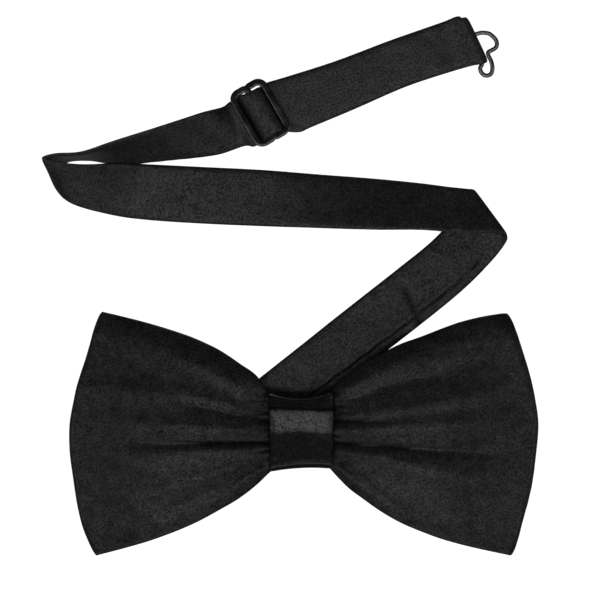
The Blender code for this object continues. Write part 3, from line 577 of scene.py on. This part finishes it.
def strap_route():
    """Cross-sections of the whole strap, from its short end to the slider's centre bar."""
    sections = [behind_knot(a, z) for a, z in ((-0.0190, SECOND_Z), (-0.0230, SECOND_Z + 0.0001),
                                               (-0.0262, BAR_Z + BAR_TURN * 0.85))]
    sections += [behind_knot(EYE_PLACE - BAR_TURN * math.sin(a), BAR_Z + BAR_TURN * math.cos(a))
                 for a in HALF_CIRCLE]
    sections.append(behind_knot(-0.0240, FLOOR_Z))
    sections += [behind_knot(a, FLOOR_Z) for a in (-0.016, -0.008, 0.0, 0.008, 0.016)]
    for stretch in (RIGHT_FOLD, MIDDLE_RUN, LEFT_CURL, UPPER_RUN):
        sections += [(np.array(left), np.array(right)) for left, right in stretch]
    over_bar = ((-0.0058, 0.00160), (-0.0038, 0.00185), (-0.0030, 0.00230), (-0.0026, 0.00330),
                (-0.0022, 0.00430), (-0.0014, 0.00485), (0.0, 0.00500), (0.0016, 0.00492),
                (0.0024, 0.00460), (0.0027, 0.00390), (0.0028, 0.00300), (0.0031, 0.00220),
                (0.0038, 0.00190), (0.0055, SECOND_Z))
    side = direction(SLIDER_ANGLE + math.pi / 2)
    for a, z in over_bar:
        left, right = near(SLIDER_CENTRE, SLIDER_ANGLE, a, z, SLIDER_WIDTH)
        inset = 0.0005 * min(max((a + 0.0022) / 0.0020, 0.0), 1.0)
        sections.append((left + (0.0003 - inset) * side, right - 0.0006 * side))
    sections += [level((-0.0010, 0.0848), math.radians(22), SECOND_Z, 0.0140),
                 level((0.0110, 0.0891), math.radians(21), SECOND_Z, 0.0131),
                 level((0.0240, 0.0944), math.radians(20), SECOND_Z, 0.0124),
                 level((0.0325, 0.0974), math.radians(19.5), SECOND_Z, 0.0124),
                 level((0.0388, 0.0996), math.radians(21), SECOND_Z, 0.0124),
                 (np.array([0.0398, 0.10665, 0.00270]), np.array([0.0439, 0.09445, 0.00270]))]
    bar = -BAR_TURN - STRAP_THICK / 2
    for a in HALF_CIRCLE:
        left, right = near(HOOK_FOLD, END_ANGLE, bar + BAR_TURN * math.sin(a),
                           BAR_Z + BAR_TURN * math.cos(a), END_WIDTH)
        side, away = direction(END_ANGLE + math.pi / 2), 1 - math.sin(a)
        sections.append((left + (0.0004 + 0.0004 * away) * side, right - 0.0003 * side))
    sections += [(np.array([0.0400, 0.1067, FLOOR_Z]), np.array([0.0436, 0.0940, FLOOR_Z])),
                 level((0.0330, 0.0973), math.radians(19.5), FLOOR_Z, 0.0124),
                 level((0.0240, 0.0942), math.radians(20), FLOOR_Z, 0.0124),
                 level((0.0110, 0.0889), math.radians(21), FLOOR_Z, 0.0131),
                 level((0.0, 0.0848), math.radians(22), FLOOR_Z, 0.0140),
                 level((-0.0035, 0.0835), math.radians(23), FLOOR_Z, STRAP_WIDTH),
                 near(SLIDER_CENTRE, SLIDER_ANGLE, 0.0012, 0.00090, SLIDER_WIDTH),
                 near(SLIDER_CENTRE, SLIDER_ANGLE, -0.0016, 0.00090, SLIDER_WIDTH)]
    return np.array(sections) + KNOT


class Strap:
    """The strap's route, cut into runs by the place of their ends along it."""

    def __init__(self):
        self.edges = smooth_curve(strap_route(), 16)
        self.middle = self.edges.mean(axis=1)
        steps = np.linalg.norm(np.diff(self.middle, axis=0), axis=1)
        self.length = np.concatenate([[0.0], np.cumsum(steps)])

    def nearest(self, place, low, high):
        """The distance along the strap that is nearest to a place, between two shares of it."""
        end = self.length[-1]
        inside = (self.length >= low * end) & (self.length <= high * end)
        away = np.linalg.norm(self.middle - np.array(place), axis=1)
        away[~inside] = np.inf
        return self.length[int(np.argmin(away))]

    def run(self, name, start, end, material, step=0.0009, relief=None, count=27):
        """A run of satin tube with folded edges, its surface lifted by relief(along, across)."""
        places = np.linspace(start, end, max(3, int(math.ceil((end - start) / step)) + 1))

        def read(values, at):
            return np.stack([np.interp(at, self.length, values[:, i]) for i in range(3)], axis=1)

        left, right = read(self.edges[:, 0], places), read(self.edges[:, 1], places)
        onward = read(self.middle, places + 2e-4) - read(self.middle, places - 2e-4)
        side = left - right
        width = np.linalg.norm(side, axis=1, keepdims=True)
        side = side / width
        up = unit(np.cross(onward, side))
        even = np.linspace(-1, 1, count)
        across = np.sin(even * math.pi / 2) * 0.6 + even * 0.4
        thick = STRAP_THICK / 2 * np.sqrt(np.clip(1 - np.abs(across) ** 10, 0.03, 1))
        lift = np.zeros((len(places), count))
        if relief is not None:
            lift = relief(places[:, None], across[None, :])
        middle = ((left + right) / 2)[:, None] + side[:, None] * (width / 2 * across)[:, :, None]
        top = middle + up[:, None] * (thick[None] + lift)[:, :, None]
        under = middle + up[:, None] * (np.minimum(lift * 0.3, 0) - thick[None])[:, :, None]
        rings = np.concatenate([top, under[:, ::-1]], axis=1)
        return loft(name, rings, material, False, 75)


def soft(seed, amount=0.00012):
    """Gentle unevenness along a run of satin."""
    def relief(along, across):
        value = ripple(along, across * STRAP_WIDTH / 2, 0.017, seed)
        fine = ripple(along * 1.5, across * STRAP_WIDTH / 2, 0.0045, seed + 50)
        return amount * value + amount * 0.22 * fine
    return relief


def seam_relief(start, seed):
    """The diagonal's back seam: one folded edge laid over the other, near the right edge."""
    gentle = soft(seed, 0.00014)

    def relief(along, across):
        from_seam = (across + 0.69) * STRAP_WIDTH / 2
        wander = 0.00012 * np.sin(along * 900) + 0.0001 * np.sin(along * 370 + 1)
        step = 0.00020 / (1 + np.exp(-(from_seam - wander) / 0.00010))
        groove = -0.00030 * np.exp(-((from_seam - wander) / 0.00020) ** 2)
        puff = 0.00012 * np.exp(-((from_seam - wander - 0.0011) / 0.0007) ** 2)
        cross_at = along - (start + 0.0262) - across * 0.0022
        crease = (-0.00042 * np.exp(-np.abs(cross_at / 0.0007) ** 1.5)
                  * np.clip((0.55 - across) / 0.6, 0, 1))
        crease = crease + (0.00034 * np.exp(-((cross_at + 0.0021) / 0.0013) ** 2)
                           * np.clip((0.7 - across) / 0.8, 0, 1))
        return gentle(along, across) + step + groove + puff + crease
    return relief


FADE = 0.006


def fade(distance):
    """From 0 at a run's end to 1 at FADE inside it, so that its relief dies away."""
    return np.clip(distance / FADE, 0, 1)


# Where the strap is cut, measured from the knot: at the right fold, and at the left curl
FOLD_IN = (0.0415, 0.0466, FLOOR_Z)
FOLD_OUT = (0.03935, 0.0570, 0.00435)
CURL_IN = (-0.0580, 0.0633, 0.0050)
CURL_OUT = (-0.0580, 0.0705, 0.0072)
SLIDER_BAR = 0.0043
# The strap's satin is calmer than the bow's. Past the right fold its colour and gloss are painted
# lighter for the light the runs catch, and past the left curl a little more
STRAP_GRAIN = 0.6
MIDDLE_PAINTED_LIGHT = (1.2, 1.1)
UPPER_PAINTED_LIGHT = (1.3, 1.15)
FINE_STEP = 0.0006


def strap_pieces():
    strap = Strap()
    slider_line = direction(SLIDER_ANGLE)
    tack = strap.nearest((0.0, 0.0, FLOOR_Z), 0.0, 0.25)
    fold_in = strap.nearest(np.array(FOLD_IN) + KNOT, 0.1, 0.4)
    fold_out = strap.nearest(np.array(FOLD_OUT) + KNOT, 0.2, 0.5)
    curl_in = strap.nearest(np.array(CURL_IN) + KNOT, 0.3, 0.7)
    curl_out = strap.nearest(np.array(CURL_OUT) + KNOT, 0.45, 0.8)
    right_bar = np.array([*SLIDER_CENTRE, SECOND_Z]) + KNOT + slider_line * SLIDER_BAR
    slider_out = strap.nearest(right_bar, 0.5, 0.9)
    end = strap.length[-1]

    short_satin = satin("strap_short_satin", STRAP_ANGLE, relief=STRAP_GRAIN)
    short = strap.run("strap_short", 0.0, tack, short_satin, relief=soft(1, 0.00005))
    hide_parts("strap_short_end")
    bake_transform(short)

    diagonal_satin = satin("strap_lower_satin", STRAP_ANGLE, relief=STRAP_GRAIN)
    seam = seam_relief(tack + 0.0175, 2)
    diagonal = strap.run("strap_diagonal_run", tack, fold_in, diagonal_satin, step=FINE_STEP,
                         relief=seam, count=61)
    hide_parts("strap_anchor", "strap_diagonal", "interlining_diagonal")
    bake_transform(diagonal)

    def fading_seam(along, across):
        return seam(along, across) * fade(fold_in + FADE - along)

    fold_satin = satin("right_fold_satin", STRAP_ANGLE, relief=STRAP_GRAIN)
    fold = strap.run("strap_right_turn", fold_in, fold_out, fold_satin, step=0.0005,
                     relief=fading_seam, count=61)
    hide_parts("strap_right_fold")
    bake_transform(fold)

    # painted light: the middle run and the curl use a lighter copy of the satin
    middle_satin = satin("strap_middle_satin", math.radians(-4), *MIDDLE_PAINTED_LIGHT, relief=STRAP_GRAIN)
    middle_soft = soft(5, 0.00016)

    def middle_relief(along, across):
        return middle_soft(along, across) * fade(along - fold_out) * fade(curl_in - along)

    middle = strap.run("strap_middle_run", fold_out, curl_in, middle_satin, relief=middle_relief)
    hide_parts("strap_middle", "interlining_middle")
    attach(middle, "strap_middle")

    curl = strap.run("strap_left_turn", curl_in, curl_out, middle_satin, step=FINE_STEP)
    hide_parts("strap_left_curl")
    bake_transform(curl)

    # painted light: the single run uses a still lighter copy of the satin
    upper_satin = satin("strap_upper_satin", math.radians(20), *UPPER_PAINTED_LIGHT, relief=STRAP_GRAIN)
    upper_soft = soft(8, 0.00016)

    def upper_relief(along, across):
        return (upper_soft(along, across) * fade(along - curl_out)
                * fade(slider_out - 0.009 - along))

    single = strap.run("strap_single_run", curl_out, slider_out, upper_satin, step=FINE_STEP,
                       relief=upper_relief)
    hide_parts("strap_single", "interlining_single", "strap_through_slider")
    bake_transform(single)

    doubled_soft = soft(11, 0.00012)

    def doubled_relief(along, across):
        return doubled_soft(along, across) * fade(along - slider_out)

    # painted light: the doubled run uses the same lighter copy as the single run
    doubled_satin = satin("strap_doubled_satin", math.radians(21), *UPPER_PAINTED_LIGHT,
                          relief=STRAP_GRAIN)
    doubled = strap.run("strap_doubled_run", slider_out, end, doubled_satin, step=FINE_STEP,
                        relief=doubled_relief)
    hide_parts("strap_doubled_top", "strap_end_fold", "strap_doubled_bottom",
                "interlining_doubled_top", "interlining_doubled_bottom")
    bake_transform(doubled)


# ---------------------------------------------------------------- the metal pieces

def place_near(centre, angle, along, across, z):
    """A point some way along and across a direction from a centre, at a height."""
    return (np.array([centre[0], centre[1], z]) + direction(angle) * along
            + direction(angle + math.pi / 2) * across)


def rounded_loop(half_across, half_along, corners, count):
    """A closed rectangle with round corners, given for its far side and then its near side."""
    places = []
    for quarter, (a_sign, b_sign) in enumerate(((1, 1), (-1, 1), (-1, -1), (1, -1))):
        corner = corners[0] if a_sign > 0 else corners[1]
        for k in range(count + 1):
            a = math.pi / 2 * (quarter + k / count)
            places.append((a_sign * (half_along - corner) + corner * math.cos(a),
                           b_sign * (half_across - corner) + corner * math.sin(a)))
    return places


def slider_piece(material):
    """Two flattened wire rings that share the centre bar."""
    half_across, half_along, outer_corner, inner_corner = 0.0073, 0.0022, 0.0019, 0.0010
    made = []
    for sign, name in ((-1, "slider_piece"), (1, "slider_other")):
        corners = (outer_corner, inner_corner)[::sign]
        outline = rounded_loop(half_across, half_along, corners, 10)
        points = [place_near(SLIDER_CENTRE, SLIDER_ANGLE, sign * half_along + a, b, SLIDER_Z)
                  for a, b in outline]
        made.append(wire(name, np.array(points) + KNOT, SLIDER_WIRE, material, 32, 0.42, 1.28))
    first, second = made
    join = first.modifiers.new("join", "BOOLEAN")
    join.operation = "UNION"
    join.solver = "EXACT"
    join.object = second
    bpy.context.view_layer.objects.active = first
    bpy.ops.object.modifier_apply(modifier="join")
    bpy.data.objects.remove(second, do_unlink=True)
    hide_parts("slider_frame")
    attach(first, "slider")


HOOK_OUTLINE = ((0.0453, 0.1023), (0.0466, 0.1025), (0.0481, 0.1023), (0.0492, 0.1015),
                (0.0500, 0.1005), (0.0502, 0.0993), (0.0497, 0.0985), (0.0488, 0.0980),
                (0.0480, 0.0975), (0.0480, 0.0967), (0.0486, 0.0955), (0.0490, 0.0941),
                (0.0490, 0.0928), (0.0487, 0.0920), (0.0478, 0.0915), (0.0468, 0.0917),
                (0.0461, 0.0925), (0.0459, 0.0935))


def hook_piece(material):
    """A wire bar inside the strap's end fold, and the open lobes that leave it."""
    middle = place_near(HOOK_FOLD, END_ANGLE, -BAR_TURN - STRAP_THICK / 2, 0.0, BAR_Z)
    along, out = direction(END_ANGLE + math.pi / 2), direction(END_ANGLE)
    bar = [middle - 0.0060 * along, middle - 0.0030 * along, middle - 0.0008 * along,
           middle + 0.0006 * along, middle + 0.0014 * along + 0.0005 * out]
    route = np.array(bar + [np.array([x, y, BAR_Z]) for x, y in HOOK_OUTLINE])
    spans = 5
    curve = smooth_curve(np.concatenate([route[-1:], route, route[:2]]), spans)[spans:-spans]
    piece = wire("hook_piece", curve + KNOT, WIRE_RADIUS, material, 20, spread=1.12)
    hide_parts("hook")
    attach(piece, "hook")


def eye_piece(material):
    """A wire ring with one bar inside the short end's fold."""
    half_across, half_along, corner = 0.0079, 0.0036, 0.0010
    outline = rounded_loop(half_across, half_along, (corner, corner), 8)
    centre = direction(STRAP_ANGLE) * (EYE_PLACE - half_along) - KNOT
    points = [place_near(centre[:2], STRAP_ANGLE, a, b, BAR_Z) for a, b in outline]
    piece = wire("eye_piece", np.array(points) + KNOT, WIRE_RADIUS, material, 16)
    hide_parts("eye")
    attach(piece, "eye")


# ---------------------------------------------------------------- the studio

FLOOR_SIZE = 60.0
FLOOR_LEVEL = -1.3
FLOOR_GLOW = 0.08
WORLD_GLOW = 0.14
VIEW_CENTRE = (0.00608, 0.02568, 0.004)
VIEW_WIDTH = 0.15384
CAMERA_DISTANCE = 1.2
SENSOR = 36.0


def studio():
    """A pale floor well below the part, white to the camera, with soft lights and a camera.

    The floor lies low so that a strap that hangs down in a pose isn't hidden by it."""
    bpy.ops.mesh.primitive_plane_add(size=FLOOR_SIZE, location=(0.0, 0.03, FLOOR_LEVEL))
    floor = bpy.context.object
    floor.name = "floor"
    n = Nodes("floor_paper")
    n.shader.inputs["Base Color"].default_value = (0.15, 0.15, 0.15, 1.0)
    n.shader.inputs["Roughness"].default_value = 0.9
    n.shader.inputs["Specular IOR Level"].default_value = 0.1
    n.shader.inputs["Emission Color"].default_value = (1.0, 1.0, 1.0, 1.0)
    seen = n.add("ShaderNodeLightPath").outputs["Is Camera Ray"]
    n.link(n.span(seen, 0.0, 1.0, FLOOR_GLOW, 1.0), n.shader.inputs["Emission Strength"])
    floor.data.materials.append(n.material)

    world = bpy.data.worlds.new("studio")
    bpy.context.scene.world = world
    world.use_nodes = True
    background = world.node_tree.nodes["Background"]
    background.inputs["Color"].default_value = (1.0, 1.0, 1.0, 1.0)
    path = world.node_tree.nodes.new("ShaderNodeLightPath")
    glow = world.node_tree.nodes.new("ShaderNodeMapRange")
    glow.inputs["To Min"].default_value = WORLD_GLOW
    glow.inputs["To Max"].default_value = 1.0
    world.node_tree.links.new(path.outputs["Is Camera Ray"], glow.inputs["Value"])
    world.node_tree.links.new(glow.outputs["Result"], background.inputs["Strength"])

    target = (0.006, 0.03, 0.0)

    def area(name, place, size, power):
        light = bpy.data.lights.new(name, "AREA")
        light.shape = "RECTANGLE"
        light.size, light.size_y = size
        light.energy = power
        lamp = bpy.data.objects.new(name, light)
        lamp.location = place
        lamp.visible_camera = False
        aim = Vector(target) - Vector(place)
        lamp.rotation_euler = aim.to_track_quat("-Z", "Y").to_euler()
        bpy.context.scene.collection.objects.link(lamp)

    area("key", (0.0, -0.27, 1.24), (1.3, 0.20), 7.0)
    area("front", (0.0, -1.00, 0.80), (1.3, 0.25), 1.3)
    area("back", (0.0, 0.80, 1.05), (1.3, 0.40), 0.3)
    area("left", (-1.05, -0.15, 0.85), (0.2, 0.9), 1.8)
    area("right", (1.05, -0.15, 0.85), (0.2, 0.9), 1.8)
    area("low_left", (-1.20, -0.10, 0.28), (0.2, 0.8), 1.6)
    area("low_right", (1.20, -0.10, 0.28), (0.2, 0.8), 1.6)
    area("low_front", (0.0, -1.20, 0.28), (1.3, 0.20), 3.0)
    area("below", (0.0, 1.10, -0.80), (1.0, 0.60), 2.0)

    camera_data = bpy.data.cameras.new("camera")
    camera_data.sensor_width = SENSOR
    camera_data.lens = SENSOR * CAMERA_DISTANCE / VIEW_WIDTH
    camera_data.clip_start, camera_data.clip_end = 0.05, 20.0
    camera = bpy.data.objects.new("camera", camera_data)
    camera.location = (VIEW_CENTRE[0], VIEW_CENTRE[1], VIEW_CENTRE[2] + CAMERA_DISTANCE)
    camera.rotation_euler = (0.0, 0.0, 0.0)
    bpy.context.scene.collection.objects.link(camera)
    bpy.context.scene.camera = camera
    bpy.context.scene.view_settings.view_transform = "Standard"
    bpy.context.scene.view_settings.look = "None"


studio()
bow = bow_cloth(satin("bow_satin_cloth", 0.0))
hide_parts("bow_satin", "bow_interlining")
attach(bow, "bow")
# painted shade: the knot gets a darker copy of the satin, half the colour and less gloss than the
# bow's
knot = knot_cloth(satin("knot_satin_cloth", math.radians(90), 0.5, 0.85, 0.20, 0.2))
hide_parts("knot_wrap", "knot_interlining")
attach(knot, "bow")
strap_pieces()
# only the slider gets the painted edge highlight; the hook and eye have none
slider_piece(plated_metal("slider_plate", 0.024, 0.14))
hook_piece(plated_metal("hook_plate", 0.07, 0.22, 0.0))
eye_piece(plated_metal("eye_plate", 0.07, 0.22, 0.0))
sewing = thread("sewing_thread")
for node in ("waist_thread", "knot_tack", "strap_tack", "eye_stitches", "hook_stitches",
             "slider_tack"):
    for material_slot in bpy.data.objects[node].material_slots:
        material_slot.material = sewing
